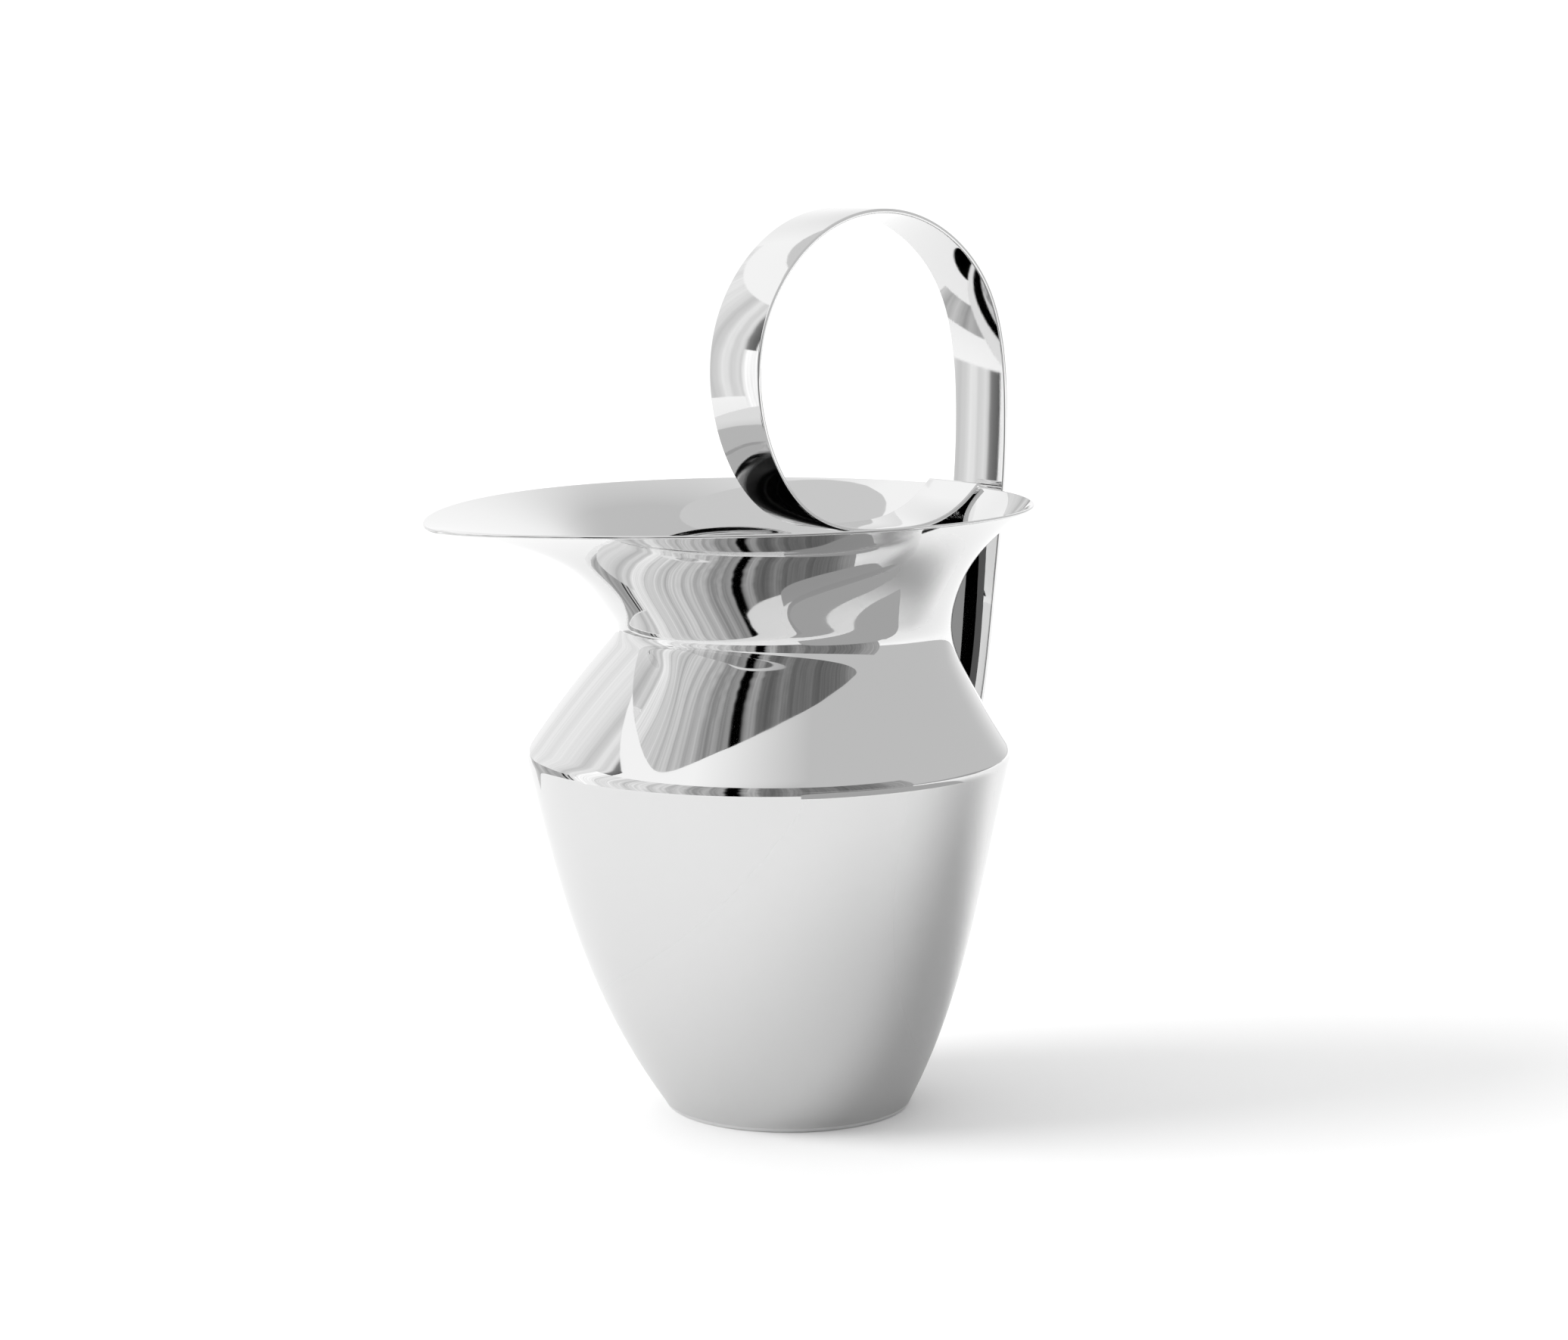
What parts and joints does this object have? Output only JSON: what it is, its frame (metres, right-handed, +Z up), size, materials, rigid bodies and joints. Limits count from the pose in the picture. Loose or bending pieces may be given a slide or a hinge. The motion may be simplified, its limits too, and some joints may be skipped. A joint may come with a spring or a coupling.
{
  "type": "water pitcher",
  "caption": "Polished metal water pitcher with a tapered round body, a wide mouth drawn out into a spout, and a looped ribbon handle.",
  "frame": {"origin": "middle of the flat underside, on the surface that the pitcher stands on", "axes": "+Z up through the mouth, -X towards the spout, +X towards the handle, +Y across"},
  "size_m": [0.2251, 0.1708, 0.29],
  "materials": {
    "polished_silver": "mirror polish with fine handling scratches",
    "silver_solder": "uneven semi-polished solder"
  },
  "bodies": {
    "root": {"base_plate": "polished_silver", "lower_body": "polished_silver", "upper_body": "polished_silver", "mouth": "polished_silver", "handle": "polished_silver", "foot_solder": "silver_solder", "lip_solder": "silver_solder"}
  },
  "joints": []
}
